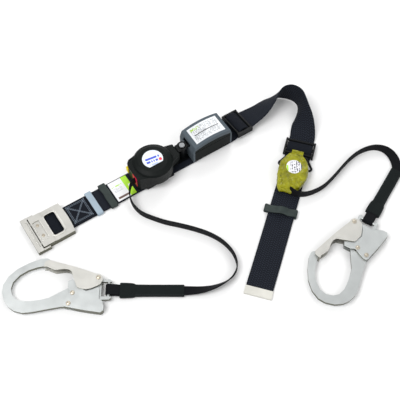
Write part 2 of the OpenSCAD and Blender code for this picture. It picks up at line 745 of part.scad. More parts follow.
hook_pins(true);  // hook_2_pins
hook_gate(true);  // hook_2_gate
hook_lever(true);  // hook_2_lever
hook_stop_pin(true);  // hook_2_stop_pin
hook_springs(true);  // hook_2_springs
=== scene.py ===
import json
import math

import bmesh
import bpy
from mathutils import Matrix, Vector, noise

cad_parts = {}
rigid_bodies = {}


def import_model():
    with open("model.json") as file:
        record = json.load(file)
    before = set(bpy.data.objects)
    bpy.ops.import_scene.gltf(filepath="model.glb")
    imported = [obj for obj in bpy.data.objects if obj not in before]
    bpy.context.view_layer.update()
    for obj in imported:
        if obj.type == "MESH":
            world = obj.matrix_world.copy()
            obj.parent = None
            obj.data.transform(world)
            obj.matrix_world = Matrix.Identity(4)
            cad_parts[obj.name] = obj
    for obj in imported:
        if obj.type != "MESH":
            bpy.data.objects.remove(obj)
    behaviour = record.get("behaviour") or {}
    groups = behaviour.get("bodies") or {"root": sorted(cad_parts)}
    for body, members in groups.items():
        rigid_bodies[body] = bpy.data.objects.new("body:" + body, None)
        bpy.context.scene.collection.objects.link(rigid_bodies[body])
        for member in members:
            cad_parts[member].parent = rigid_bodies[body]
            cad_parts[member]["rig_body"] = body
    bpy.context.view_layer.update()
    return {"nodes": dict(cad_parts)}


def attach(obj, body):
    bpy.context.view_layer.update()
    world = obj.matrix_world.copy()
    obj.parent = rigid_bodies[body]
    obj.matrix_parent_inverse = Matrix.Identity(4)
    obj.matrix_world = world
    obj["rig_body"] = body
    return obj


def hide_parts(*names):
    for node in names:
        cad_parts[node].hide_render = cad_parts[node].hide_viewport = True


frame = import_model()
nodes = frame["nodes"]
scene = bpy.context.scene
MM = 0.001


# ------------------------------------------------------------------ places
def placed(x, y, turn):
    return Matrix.Translation((x * MM, y * MM, 0)) @ Matrix.Rotation(math.radians(turn), 4, "Z")


LEFT_RUN = placed(-249, -48, 33)
RIGHT_RUN = placed(199.5, 108, -105.5)
BUCKLE = LEFT_RUN @ Matrix.Translation((0, -1 * MM, 0))
REEL = LEFT_RUN @ Matrix.Translation((191.5 * MM, -0.5 * MM, 0))
ABSORBER = LEFT_RUN @ Matrix.Translation((268 * MM, 0, 4 * MM))
HOOKS = {1: placed(-179, -175, 0), 2: placed(289, -62, 58.5)}
BELT_TOP = 4.0


# ------------------------------------------------------------------ camera
CAMERA_PLACE = (0.002, -0.721, 1.2384)
CAMERA_TILT = 30
CAMERA_VIEW = 30


def set_camera():
    data = bpy.data.cameras.new("camera")
    data.sensor_width = 36
    data.angle = math.radians(CAMERA_VIEW)
    cam = bpy.data.objects.new("camera", data)
    cam.location = CAMERA_PLACE
    cam.rotation_euler = (math.radians(CAMERA_TILT), 0, 0)
    scene.collection.objects.link(cam)
    scene.camera = cam
    scene.render.resolution_x = 1200
    scene.render.resolution_y = 1200


# ------------------------------------------------------------------ shader tools
class Value:
    """A socket that takes part in arithmetic: each operation adds its Math node."""

    def __init__(self, shader, socket):
        self.shader = shader
        self.socket = socket

    def _do(self, operation, *others):
        node = self.shader.tree.nodes.new("ShaderNodeMath")
        node.operation = operation
        for place, item in zip(node.inputs, (self,) + others):
            self.shader.feed(place, item)
        return Value(self.shader, node.outputs[0])

    def __add__(self, other):
        return self._do("ADD", other)

    __radd__ = __add__

    def __mul__(self, other):
        return self._do("MULTIPLY", other)

    __rmul__ = __mul__

    def __sub__(self, other):
        return self._do("SUBTRACT", other)

    def __rsub__(self, other):
        return (self * -1) + other

    def __truediv__(self, other):
        return self._do("DIVIDE", other)

    def __gt__(self, other):
        return self._do("GREATER_THAN", other)

    def __lt__(self, other):
        return self._do("LESS_THAN", other)

    def sin(self):
        return self._do("SINE")

    def abs(self):
        return self._do("ABSOLUTE")

    def floor(self):
        return self._do("FLOOR")

    def fract(self):
        return self._do("FRACT")

    def max(self, other):
        return self._do("MAXIMUM", other)

    def power(self, other):
        return self._do("POWER", other)

    def between(self, low, high):
        return (self > low) * (self < high)


class Shader:
    """Builds one material: a Principled shader and the nodes that feed it."""

    def __init__(self, name, color, roughness, metallic=0.0, **fixed):
        self.material = bpy.data.materials.new(name)
        self.material.use_nodes = True
        self.tree = self.material.node_tree
        self.base = self.tree.nodes["Principled BSDF"]
        self.base.inputs["Base Color"].default_value = (*color, 1)
        self.base.inputs["Roughness"].default_value = roughness
        self.base.inputs["Metallic"].default_value = metallic
        for socket, value in fixed.items():
            self.base.inputs[socket.replace("_", " ")].default_value = value
        self.color = color
        self.bumps = None

    def feed(self, place, item):
        if isinstance(item, Value):
            item = item.socket
        if isinstance(item, bpy.types.NodeSocket):
            self.tree.links.new(item, place)
        else:
            place.default_value = item

    def node(self, kind, settings=None, **inputs):
        made = self.tree.nodes.new(kind)
        for name, value in (settings or {}).items():
            setattr(made, name, value)
        for name, item in inputs.items():
            self.feed(made.inputs[name.replace("_", " ")], item)
        return made

    def coords(self, place=None):
        """Object coordinates in millimetres, in the frame of `place`, as three values."""
        point = self.node("ShaderNodeTexCoord").outputs["Object"]
        if place is not None:
            inverse = place.inverted()
            mapping = self.node("ShaderNodeMapping", Vector=point)
            mapping.inputs["Rotation"].default_value = inverse.to_euler()
            mapping.inputs["Location"].default_value = inverse.to_translation()
            point = mapping.outputs[0]
        return self.split(point, 1000)

    def along(self):
        """The piece's own length and width coordinates, in millimetres."""
        return self.split(self.node("ShaderNodeUVMap", {"uv_map": "UVMap"}).outputs[0], 1000)

    def split(self, vector, scale):
        parts = self.node("ShaderNodeSeparateXYZ", Vector=vector)
        return [Value(self, socket) * scale for socket in parts.outputs]

    def attribute(self, name):
        made = self.node("ShaderNodeAttribute", {"attribute_name": name})
        return Value(self, made.outputs["Fac"])

    def noise(self, x, y, z, scale, detail=3.0):
        joined = self.node("ShaderNodeCombineXYZ", X=x, Y=y, Z=z).outputs[0]
        made = self.node("ShaderNodeTexNoise", Vector=joined, Scale=scale, Detail=detail)
        return Value(self, made.outputs[0])

    def cells(self, x, y):
        """A fixed random number for each whole cell of x and y."""
        joined = self.node("ShaderNodeCombineXYZ", X=x.floor(), Y=y.floor(), Z=0.0).outputs[0]
        return Value(self, self.node("ShaderNodeTexWhiteNoise", Vector=joined).outputs[0])

    def mix(self, factor, low, high):
        made = self.node("ShaderNodeMix", {"data_type": "RGBA"})
        for place, item in ((0, factor), (6, low), (7, high)):
            if isinstance(item, tuple):
                item = (*item, 1)
            self.feed(made.inputs[place], item)
        return made.outputs[2]

    def paint(self, color):
        self.feed(self.base.inputs["Base Color"], color)

    def rough(self, value):
        self.feed(self.base.inputs["Roughness"], value)

    def bump(self, height, distance, strength=1.0):
        """Adds a bump; the distance is in metres."""
        inputs = {"Height": height, "Distance": distance, "Strength": strength}
        made = self.node("ShaderNodeBump", None, **inputs)
        if self.bumps is not None:
            self.feed(made.inputs["Normal"], self.bumps)
        self.bumps = made.outputs[0]
        self.feed(self.base.inputs["Normal"], self.bumps)


TURN = 2 * math.pi


# ------------------------------------------------------------------ materials
def weave(shader, s, t, pitch, rib, depth):
    """Plain webbing: ribs across the strap, broken up by the yarns that cross them."""
    shift = (t * (TURN / rib)).sin() * 0.9
    ribs = ((s * (TURN / pitch)) + shift).sin()
    yarns = (t * (TURN / (rib / 2))).sin()
    height = ribs * 0.6 + yarns * 0.4
    shader.bump(height, depth)
    return height


def webbing(name, color, pitch=1.9, rib=2.6, lift=1.8):
    shader = Shader(name, color, 0.72, Specular_IOR_Level=0.15)
    s, t, _ = shader.along()
    height = weave(shader, s, t, pitch, rib, 0.0004)
    fuzz = shader.noise(s, t, 0.0, 0.35)
    tone = height * 0.25 + fuzz * 0.7
    bright = tuple(c * lift + 0.006 for c in color)
    shader.paint(shader.mix(tone, color, bright))
    shader.rough(fuzz * 0.2 + 0.62)
    return shader.material


def belt_webbing():
    """Fine ribs on one face; slanting bars with raised yarns on the other."""
    color = (0.0025, 0.0035, 0.007)
    shader = Shader("belt_webbing", color, 0.7, Specular_IOR_Level=0.15)
    s, t, _ = shader.along()
    under = shader.attribute("under")
    fine = ((s * (TURN / 1.7)) + (t * (TURN / 2.2)).sin() * 0.8).sin() * 0.5 + 0.5
    row = (t / 4.6).floor()
    side = (row * 0.5).fract() * 4 - 1
    slant = ((s * (TURN / 4.6)) + t * side * (TURN / 5.2)).sin() * 0.5 + 0.5
    rows = (t * (TURN / 9.2)).sin().abs()
    bars = slant.power(3.0) * (rows * 1.4)
    height = fine * (1 - under) * 0.4 + bars * under
    shader.bump(height, 0.0009)
    fuzz = shader.noise(s, t, 0.0, 0.3)
    tone = height * 0.8 + fuzz * 0.1
    shader.paint(shader.mix(tone, color, (0.034, 0.043, 0.062)))
    return shader.material


def alloy(name, color=(0.72, 0.75, 0.745), roughness=0.32):
    shader = Shader(name, color, roughness, 0.8)
    x, y, z = shader.coords()
    cloud = shader.noise(x, y, z, 0.05, 4.0)
    grain = shader.noise(x, y, z, 0.9, 2.0)
    # Painted shade: steep faces, weighted by the face attribute `wall`, are darkened toward a dark
    # olive. This stands in for the shade on side walls and in the gaps between parts.
    wall = shader.attribute("wall")
    face = shader.mix(cloud * 0.9, tuple(c * 0.86 for c in color), color)
    shader.paint(shader.mix(wall, face, (0.11, 0.11, 0.078)))
    shader.rough(cloud * 0.16 + roughness - 0.06)
    shader.bump(grain, 0.00012, 0.6)
    return shader.material


def steel(name, color=(0.66, 0.64, 0.58), roughness=0.24):
    shader = Shader(name, color, roughness, 0.95)
    x, y, z = shader.coords()
    shader.rough(shader.noise(x, y, z, 0.5) * 0.25 + roughness - 0.08)
    return shader.material


def plastic(name, color, roughness=0.45, grain=0.00012, scale=1.4):
    """Moulded plastic with a fine spark-eroded grain."""
    shader = Shader(name, color, roughness, Specular_IOR_Level=0.14)
    x, y, z = shader.coords()
    cloud = shader.noise(x, y, z, 0.04)
    shader.paint(shader.mix(cloud, tuple(c * 0.85 for c in color), tuple(c * 1.2 for c in color)))
    shader.rough(cloud * 0.14 + roughness - 0.07)
    shader.bump(shader.noise(x, y, z, scale, 2.0), grain)
    return shader.material


def case(name, color, dark):
    """Case plastic whose long sides are darker below an arched line."""
    shader = Shader(name, color, 0.4, Specular_IOR_Level=0.06)
    x, y, z = shader.coords(ABSORBER)
    sag = (x - 45) * (x - 45) * (1 / 260)
    side = (y.abs() > 24.3) * (z < 41.5 - sag) * x.between(4, 86)
    shader.paint(shader.mix(side, color, dark))
    shader.bump(side * -1, 0.0012)
    return shader.material


def rubber(name, color):
    shader = Shader(name, color, 0.55, Specular_IOR_Level=0.3)
    x, y, z = shader.coords()
    smear = shader.noise(x * 0.3, y, z, 0.18, 5.0)
    shader.paint(shader.mix(smear, tuple(c * 0.6 for c in color), tuple(c * 1.5 for c in color)))
    shader.rough(smear * 0.35 + 0.35)
    shader.bump(smear, 0.0009)
    return shader.material


def film():
    """Thin glossy yellow film with creases that catch the light."""
    deep, bright = (0.10, 0.10, 0.001), (0.44, 0.43, 0.004)
    shader = Shader("yellow_film", bright, 0.3, Specular_IOR_Level=0.3, Coat_Weight=0.12)
    x, y, z = shader.coords()
    blotch = shader.noise(x, y, z, 0.085, 4.0)
    crease = 1 - ((shader.noise(x, y, z, 0.11, 2.0) - 0.5) * 9).abs()
    shader.paint(shader.mix(blotch * 1.5 - 0.25, deep, bright))
    shader.bump(crease.max(0.0) * 0.6 + blotch, 0.0016)
    shader.rough(blotch * 0.3 + 0.18)
    return shader.material


def size_label():
    """White card with green rows, a green end band and a brown block."""
    shader = Shader("size_label", (0.84, 0.85, 0.87), 0.42, Coat_Weight=0.3)
    x, y, _ = shader.coords(LEFT_RUN)
    band = (x > 128) * (1 - y.between(-3, 2) * (x > 134))
    rows = y.between(9, 11.4) * x.between(103, 124)
    words = shader.cells(x / 1.5, y / 2.6) > 0.35
    grey = y.between(-4, 6) * ((y / 2.6).fract() < 0.45) * words * x.between(104, 122)
    block = y.between(-19, -14.5) * x.between(104, 126)
    color = shader.mix(grey * 0.5, (0.84, 0.85, 0.87), (0.25, 0.27, 0.3))
    color = shader.mix((rows * words).max(band), color, (0.42, 0.78, 0.03))
    shader.paint(shader.mix(block, color, (0.13, 0.075, 0.06)))
    return shader.material


def case_label():
    """Silver-white label: green heading, rows of grey marks and one black rule."""
    shader = Shader("case_label", (0.72, 0.74, 0.76), 0.35, Coat_Weight=0.4)
    x, y, _ = shader.coords(ABSORBER)
    words = shader.cells(x / 1.7, y / 2.7) > 0.42
    rows = ((y / 2.7).fract() < 0.55) * words * x.between(16, 74) * y.between(-15.5, 15.5)
    heading = y.between(9.5, 14.5) * x.between(16, 35)
    rule = y.between(-2.2, -0.4) * x.between(18, 73)
    color = shader.mix(rows * (1 - heading) * 0.7, (0.72, 0.74, 0.76), (0.14, 0.15, 0.17))
    color = shader.mix(heading * words, color, (0.36, 0.56, 0.05))
    shader.paint(shader.mix(rule, color, (0.015, 0.015, 0.018)))
    return shader.material


def reel_label():
    """Round white label: two blue rows of blocks and a small red corner."""
    shader = Shader("reel_label", (0.78, 0.84, 0.9), 0.35, Coat_Weight=0.4)
    x, y, _ = shader.coords(REEL @ Matrix.Rotation(math.radians(-8), 4, "Z"))
    words = shader.cells(x / 2.2, y / 7.2) > 0.1
    blue = y.between(-7.2, 7.2) * ((y / 7.2).fract() < 0.62) * words * (x.abs() < 14)
    pale = y.between(-14, -10) * (x.abs() < 10) * words
    red = x.between(11, 16.5) * y.between(-9, -3)
    color = shader.mix(blue, (0.78, 0.84, 0.9), (0.05, 0.09, 0.62))
    color = shader.mix(pale * 0.5, color, (0.2, 0.3, 0.7))
    shader.paint(shader.mix(red, color, (0.75, 0.02, 0.05)))
    return shader.material


def pouch_label():
    """Round white label: dark columns of marks and a green bar at one side."""
    place = RIGHT_RUN @ Matrix.Translation((59 * MM, -1 * MM, 0))
    shader = Shader("pouch_label", (0.8, 0.8, 0.84), 0.35, Coat_Weight=0.4)
    x, y, _ = shader.coords(place @ Matrix.Rotation(math.radians(16), 4, "Z"))
    marks = shader.cells(x / 2.0, y / 2.6) > 0.38
    columns = ((y / 4.4).fract() < 0.55) * marks * (x.abs() < 13) * y.between(-7, 15)
    green = y.between(-14.5, -11) * x.between(-4, 9)
    color = shader.mix(columns, (0.8, 0.8, 0.84), (0.03, 0.03, 0.05))
    shader.paint(shader.mix(green, color, (0.42, 0.72, 0.05)))
    return shader.material


BELT = belt_webbing()
TAPE = webbing("tape_webbing", (0.003, 0.0035, 0.005), 1.5, 2.0)
PATCH = webbing("patch_webbing", (0.0035, 0.005, 0.009), 1.8, 2.4, 2.2)
SLEEVE = webbing("sleeve_cloth", (0.008, 0.012, 0.012), 1.0, 1.2, 1.5)
ALLOY = alloy("satin_alloy")
ALLOY_PALE = alloy("pale_alloy", (0.75, 0.74, 0.695), 0.36)
RIVET = steel("rivet_steel", (0.62, 0.56, 0.46), 0.28)
STEEL = steel("bright_steel")
LINK_STEEL = steel("link_steel", (0.26, 0.27, 0.28), 0.36)
HIDDEN = plastic("inner_plastic", (0.2, 0.2, 0.2))
REEL_BLACK = plastic("reel_black", (0.003, 0.0048, 0.0044), 0.45, 0.0003, 1.1)
FRAME_BLACK = plastic("frame_black", (0.0028, 0.0034, 0.004), 0.36)
CASE = case("case_grey", (0.085, 0.105, 0.122), (0.002, 0.004, 0.0035))
KEEPER_BLUE = plastic("keeper_blue", (0.33, 0.41, 0.48), 0.55)
KEEPER_RUBBER = rubber("keeper_rubber", (0.022, 0.032, 0.030))
TIP = plastic("tip_grey", (0.62, 0.61, 0.56), 0.5)
RED = plastic("mouth_red", (0.55, 0.012, 0.05), 0.3)
YELLOW = plastic("button_yellow", (0.78, 0.62, 0.02), 0.35)
THREAD = plastic("thread", (0.2, 0.24, 0.29), 0.7)
DARK_THREAD = plastic("dark_thread", (0.05, 0.055, 0.06), 0.7)
FILM = film()


# ------------------------------------------------------------------ mesh tools
def add_object(name, mesh, material, body, replaced=()):
    made = bpy.data.objects.new(name, mesh)
    scene.collection.objects.link(made)
    if material is not None:
        mesh.materials.clear()
        mesh.materials.append(material)
    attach(made, body)
    if replaced:
        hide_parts(*replaced)
    return made


def smooth(mesh, angle=35):
    mesh.polygons.foreach_set("use_smooth", [True] * len(mesh.polygons))
    mesh.set_sharp_from_angle(angle=math.radians(angle))


def modifiers_applied(mesh, *steps):
    """The mesh after a stack of modifiers, each a kind with its settings."""
    carrier = bpy.data.objects.new("carrier", mesh)
    scene.collection.objects.link(carrier)
    for kind, settings in steps:
        modifier = carrier.modifiers.new(kind, kind)
        for name, value in settings.items():
            setattr(modifier, name, value)
    graph = bpy.context.evaluated_depsgraph_get()
    result = bpy.data.meshes.new_from_object(carrier.evaluated_get(graph))
    bpy.data.objects.remove(carrier)
    return result


def rounded(node, width, material, segments=3, angle=30):
    """A copy of a CAD node with its edges rounded, which stands for the node."""
    mesh = nodes[node].data.copy()
    bm = bmesh.new()
    bm.from_mesh(mesh)
    bmesh.ops.remove_doubles(bm, verts=bm.verts, dist=0.00002)
    bmesh.ops.dissolve_limit(bm, angle_limit=math.radians(0.6), verts=bm.verts, edges=bm.edges,
                             delimit={"NORMAL"})
    bm.to_mesh(mesh)
    bm.free()
    bevel = {"width": width * MM, "segments": segments, "limit_method": "ANGLE",
             "angle_limit": math.radians(angle), "harden_normals": False,
             "use_clamp_overlap": True, "miter_outer": "MITER_ARC"}
    mesh = modifiers_applied(mesh, ("BEVEL", bevel))
    smooth(mesh, angle + 5)
    mesh = modifiers_applied(mesh, ("WEIGHTED_NORMAL", {"keep_sharp": True, "weight": 90}))
    # Painted shade: the face attribute `wall` is near 1 on steep faces and 0 on flat ones, and the
    # alloy materials darken by it.
    wall_shade = [min(1.0, max(0.0, 1.25 - 1.45 * abs(face.normal.z))) for face in mesh.polygons]
    mesh.attributes.new("wall", "FLOAT", "FACE").data.foreach_set("value", wall_shade)
    return add_object(node + "_finish", mesh, material, nodes[node]["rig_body"], (node,))


def curve_through(points, steps):
    """A Catmull-Rom curve through points of any dimension."""
    out = []
    last = len(points) - 1
    for i in range(last):
        a, b = points[max(i - 1, 0)], points[i]
        c, d = points[i + 1], points[min(i + 2, last)]
        for k in range(steps):
            t = k / steps
            out.append([0.5 * (2 * q + (r - p) * t + (2 * p - 5 * q + 4 * r - s) * t * t
                               + (3 * q - p - 3 * r + s) * t ** 3)
                        for p, q, r, s in zip(a, b, c, d)])
    out.append(list(points[-1]))
    return out


def strap_section(width, thick, across):
    """Round-edged section of a strap: (across, up) offsets, anticlockwise."""
    half, r = width / 2, thick / 2
    flat = half - r
    top = [(flat - 2 * flat * i / across, r) for i in range(across + 1)]
    left = [(-flat - r * math.sin(a), r * math.cos(a)) for a in (math.pi / 4, math.pi / 2,
                                                                 3 * math.pi / 4)]
    low = [(-flat + 2 * flat * i / across, -r) for i in range(across + 1)]
    right = [(flat + r * math.sin(a), -r * math.cos(a)) for a in (math.pi / 4, math.pi / 2,
                                                                  3 * math.pi / 4)]
    return top + left + low + right


def sweep(name, stations, section, closed=False, ripple=None):
    """Sweeps a section along stations of (centre, across, up), all in millimetres.
    The UV map holds metres along and across; a face attribute `under` marks the lower side."""
    mesh = bpy.data.meshes.new(name)
    count = len(section)
    points, faces, uvs, under = [], [], [], []
    lengths = [0.0]
    for a, b in zip(stations, stations[1:]):
        lengths.append(lengths[-1] + (Vector(b[0]) - Vector(a[0])).length)
    for i, (centre, across, up) in enumerate(stations):
        for x, y in section:
            lift = ripple(lengths[i], x, y) if ripple else 0.0
            points.append((Vector(centre) + Vector(across) * x + Vector(up) * (y + lift)) * MM)
    rings = len(stations)
    for i in range(rings if closed else rings - 1):
        n = (i + 1) % rings
        far = lengths[i + 1] if i + 1 < rings else lengths[i] + 1
        for j in range(count):
            k = (j + 1) % count
            faces.append((i * count + j, i * count + k, n * count + k, n * count + j))
            uvs += [(lengths[i], section[j][0]), (lengths[i], section[k][0]),
                    (far, section[k][0]), (far, section[j][0])]
            under.append(1.0 if section[j][1] + section[k][1] < 0 else 0.0)
    if not closed:
        for i, order in ((0, range(count - 1, -1, -1)), (rings - 1, range(count))):
            faces.append([i * count + j for j in order])
            uvs += [(lengths[i], section[j][0]) for j in order]
            under.append(0.0)
    mesh.from_pydata(points, [], faces)
    layer = mesh.uv_layers.new(name="UVMap")
    layer.data.foreach_set("uv", [c * MM for uv in uvs for c in uv])
    mesh.attributes.new("under", "FLOAT", "FACE").data.foreach_set("value", under)
    bm = bmesh.new()
    bm.from_mesh(mesh)
    bmesh.ops.recalc_face_normals(bm, faces=bm.faces)
    bm.to_mesh(mesh)
    bm.free()
    smooth(mesh, 50)
    return mesh


def rolled_stations(route, steps):
    """Stations of a strap along [x, y, z, roll] points: roll 0 is flat, 90 on its edge."""
    points = curve_through(route, steps)
    last = len(points) - 1
    stations = []
    for i, (x, y, z, roll) in enumerate(points):
        a, b = points[max(i - 1, 0)], points[min(i + 1, last)]
        ahead = Vector((b[0] - a[0], b[1] - a[1], 0)).normalized()
        side = Vector((-ahead.y, ahead.x, 0))
        lean = math.radians(roll)
        across = side * math.cos(lean) + Vector((0, 0, math.sin(lean)))
        up = Vector((0, 0, math.cos(lean))) - side * math.sin(lean)
        stations.append((Vector((x, y, z)), across, up))
    return stations


def on(place, x, y, z=0.0):
    """A point of a local frame, in millimetres of the shared frame."""
    return (place @ Vector((x * MM, y * MM, z * MM))) / MM


# ------------------------------------------------------------------ stitches
def stitch_tree(material):
    """Geometry Nodes: short thread stitches along each edge path of the input."""
    tree = bpy.data.node_groups.new("stitches", "GeometryNodeTree")
    face = tree.interface
    face.new_socket("Geometry", in_out="INPUT", socket_type="NodeSocketGeometry")
    for label, start in (("Pitch", 0.0035), ("Length", 0.0024), ("Thread", 0.00035)):
        socket = face.new_socket(label, in_out="INPUT", socket_type="NodeSocketFloat")
        socket.default_value = start
    face.new_socket("Geometry", in_out="OUTPUT", socket_type="NodeSocketGeometry")
    new, link = tree.nodes.new, tree.links.new
    given, out = new("NodeGroupInput"), new("NodeGroupOutput")
    curve = new("GeometryNodeMeshToCurve")
    spaced = new("GeometryNodeResampleCurve")
    spaced.mode = "LENGTH"
    thread = new("GeometryNodeMeshCylinder")
    thread.inputs["Vertices"].default_value = 6
    put = new("GeometryNodeInstanceOnPoints")
    tangent = new("GeometryNodeInputTangent")
    align = new("FunctionNodeAlignRotationToVector")
    align.axis = "Z"
    real = new("GeometryNodeRealizeInstances")
    paint = new("GeometryNodeSetMaterial")
    paint.inputs["Material"].default_value = material
    link(given.outputs["Geometry"], curve.inputs["Mesh"])
    link(curve.outputs["Curve"], spaced.inputs["Curve"])
    link(given.outputs["Pitch"], spaced.inputs["Length"])
    link(given.outputs["Length"], thread.inputs["Depth"])
    link(given.outputs["Thread"], thread.inputs["Radius"])
    link(spaced.outputs["Curve"], put.inputs["Points"])
    link(thread.outputs["Mesh"], put.inputs["Instance"])
    link(tangent.outputs[0], align.inputs["Vector"])
    link(align.outputs[0], put.inputs["Rotation"])
    link(put.outputs[0], real.inputs[0])
    link(real.outputs[0], paint.inputs["Geometry"])
    link(paint.outputs[0], out.inputs[0])
    return tree


def stitches(name, paths, material, body="belt_set", pitch=3.5, length=2.5, thread=0.35):
    """Stitches along paths of points in millimetres."""
    mesh = bpy.data.meshes.new(name)
    points, edges = [], []
    for path in paths:
        start = len(points)
        points += [Vector(p) * MM for p in path]
        edges += [(start + i, start + i + 1) for i in range(len(path) - 1)]
    mesh.from_pydata(points, edges, [])
    carrier = bpy.data.objects.new("carrier", mesh)
    scene.collection.objects.link(carrier)
    modifier = carrier.modifiers.new("stitches", "NODES")
    modifier.node_group = stitch_tree(material)
    sizes = {"Pitch": pitch, "Length": length, "Thread": thread}
    for item in modifier.node_group.interface.items_tree:
        if item.in_out == "INPUT" and item.name in sizes:
            modifier[item.identifier] = sizes[item.name] * MM
    graph = bpy.context.evaluated_depsgraph_get()
    result = bpy.data.meshes.new_from_object(carrier.evaluated_get(graph))
    bpy.data.objects.remove(carrier)
    smooth(result)
    return add_object(name, result, material, body)


def lip(name, x_mid, half_x, half_y, corner, z, width, thick):
    """A raised rim with round corners round an opening of the buckle."""
    turn = BUCKLE.to_3x3()
    stations = []
    for sx, sy, start in ((1, 1, 0), (-1, 1, 90), (-1, -1, 180), (1, -1, 270)):
        for k in range(9):
            a = math.radians(start + 90 * k / 8)
            out = Vector((math.cos(a), math.sin(a), 0))
            spot = Vector((sx * (half_x - corner), sy * (half_y - corner), 0)) + out * corner
            stations.append((on(BUCKLE, x_mid + spot.x, spot.y, z), turn @ out,
                             Vector((0, 0, 1))))
    mesh = sweep(name, stations, strap_section(width, thick, 4), closed=True)
    # No painted shade on the lip: its `wall` attribute is zero on every face.
    wall_shade = mesh.attributes.new("wall", "FLOAT", "FACE")
    wall_shade.data.foreach_set("value", [0.0] * len(mesh.polygons))
    add_object(name, mesh, ALLOY_PALE, "belt_set")


# ------------------------------------------------------------------ lanyard tapes
TAPE_1_ROUTE = [
    [-121.5, 21, 28.6, 90], [-127, 16.5, 27.6, 90], [-131, 6, 23, 90], [-131, -7, 18, 90],
    [-126, -21, 13.6, 90], [-117, -32.5, 10.4, 90], [-105, -42, 9.4, 90],
    [-88, -50, 9.4, 90], [-64, -59, 9.4, 90], [-36, -66, 9.4, 90], [-8, -74, 9.4, 90],
    [18, -84, 9.4, 90], [41, -98, 9.4, 90], [58, -116, 9.4, 90], [67, -134, 9.4, 90],
    [69, -152, 9.4, 90], [61, -169, 9.2, 80], [46, -181, 8.5, 65], [25, -190, 7.2, 45],
    [1, -194.5, 5.4, 22], [-27, -195.5, 4.4, 0]
]
TAPE_2_ROUTE = [
    [172, 10, 11, 60], [183, 2, 12.6, 80], [195, 0, 12, 88], [208, 2, 10.5, 90],
    [226, 10, 9.4, 90], [241, 20, 9.4, 90], [254, 33, 9.4, 90], [269, 50, 9.4, 90],
    [283, 67, 9.4, 90], [298, 83, 9.4, 90], [314, 96, 9.4, 90], [331, 105, 9.4, 90],
    [348, 109, 9.4, 88], [364, 106, 9.2, 78], [376, 97, 8.4, 58], [384, 84, 6.6, 32],
    [387, 70, 5, 10], [386.4, 57, 4.4, 0]
]
TAPE_W, TAPE_T = 18, 2.2
SLEEVE_W = 23
EYE_X, EYE_Y, EYE_Z = 18.5, -20.5, 8.5


def tape_loop(number):
    """Doubled tape that comes out of the sleeve and turns round the bar of the hook's eye."""
    place = HOOKS[number]
    radius = 4.6
    path = [(66, 5.0), (52, 6.1), (40, 7.9), (30, 11.1)]
    path += [(EYE_X + radius * math.sin(a), EYE_Z + radius * math.cos(a))
             for a in [math.radians(d) for d in range(0, -181, -15)]]
    path += [(30, 4.3), (40, 3.1), (52, 3.0), (66, 3.0)]
    path = curve_through(path, 3)
    stations = []
    last = len(path) - 1
    turn = place.to_3x3()
    for i, (x, z) in enumerate(path):
        a, b = path[max(i - 1, 0)], path[min(i + 1, last)]
        ahead = Vector((b[0] - a[0], 0, b[1] - a[1])).normalized()
        up = turn @ Vector((-ahead.z, 0, ahead.x))
        stations.append((on(place, x, EYE_Y, z), turn @ Vector((0, 1, 0)), up))
    mesh = sweep(f"tape_loop_{number}", stations, strap_section(SLEEVE_W - 3, 1.9, 8))
    return add_object(f"tape_loop_{number}", mesh, TAPE, "belt_set", (f"loop_{number}",))


def sleeve(number):
    """Soft tube over the tape with a wider folded band at the hook end."""
    place = HOOKS[number]
    turn = place.to_3x3()
    profile = [(38.4, 14.0, 4.9, 5.4), (40, 14.4, 5.1, 5.5), (50, 14.2, 5.0, 5.5),
               (60, 13.8, 4.5, 5.2), (63.6, 13.4, 4.1, 5.0), (64.4, 11.7, 3.4, 4.6),
               (90, 11.4, 3.1, 4.4), (120, 11.4, 3.1, 4.4), (151.6, 11.5, 3.0, 4.4),
               (153, 11.2, 2.7, 4.4)]
    stations, rings = [], []
    corners = 28
    for i in range(46):
        x = profile[0][0] + (profile[-1][0] - profile[0][0]) * i / 45
        j = max(k for k in range(len(profile) - 1) if profile[k][0] <= x)
        a, b = profile[j], profile[j + 1]
        f = (x - a[0]) / (b[0] - a[0])
        half, thick, mid = [p + (q - p) * f for p, q in zip(a[1:], b[1:])]
        ring = []
        for c in range(corners):
            angle = TURN * c / corners
            cx, sy = math.cos(angle), math.sin(angle)
            wave = noise.noise(Vector((x * 0.09, c * 0.6, number * 7.0))) * 0.35
            ring.append((half * math.copysign(abs(cx) ** 0.28, cx),
                         (thick + wave) * math.copysign(abs(sy) ** 0.7, sy) * 0.98))
        stations.append((on(place, x, EYE_Y, mid), turn @ Vector((0, 1, 0)), Vector((0, 0, 1))))
        rings.append(ring)
    points, faces, uvs = [], [], []
    for (centre, across, up), ring in zip(stations, rings):
        points += [(centre + across * x + up * y) * MM for x, y in ring]
    for i in range(len(rings) - 1):
        for c in range(corners):
            n = (c + 1) % corners
            faces.append((i * corners + c, (i + 1) * corners + c, (i + 1) * corners + n,
                          i * corners + n))
            uvs += [(i * 2.5, rings[i][c][0]), (i * 2.5 + 2.5, rings[i][c][0]),
                    (i * 2.5 + 2.5, rings[i][n][0]), (i * 2.5, rings[i][n][0])]
    top = (len(rings) - 1) * corners
    faces += [list(range(corners)), [top + c for c in range(corners - 1, -1, -1)]]
    uvs += [(0, 0)] * (2 * corners)
    mesh = bpy.data.meshes.new(f"sleeve_{number}")
    mesh.from_pydata(points, [], faces)
    mesh.uv_layers.new(name="UVMap").data.foreach_set("uv", [c * MM for uv in uvs for c in uv])
    bm = bmesh.new()
    bm.from_mesh(mesh)
    bmesh.ops.recalc_face_normals(bm, faces=bm.faces)
    bm.to_mesh(mesh)
    bm.free()
    smooth(mesh, 50)
    made = add_object(f"lanyard_sleeve_{number}", mesh, SLEEVE, "belt_set", (f"sleeve_{number}",))
    edges = [[on(place, x, EYE_Y + side * 9.5, 7.6) for x in (66, 150)] for side in (-1, 1)]
    thread = stitches(f"sleeve_stitches_{number}", edges, DARK_THREAD, pitch=3.2, length=2.2,
                      thread=0.25)
    return made, thread


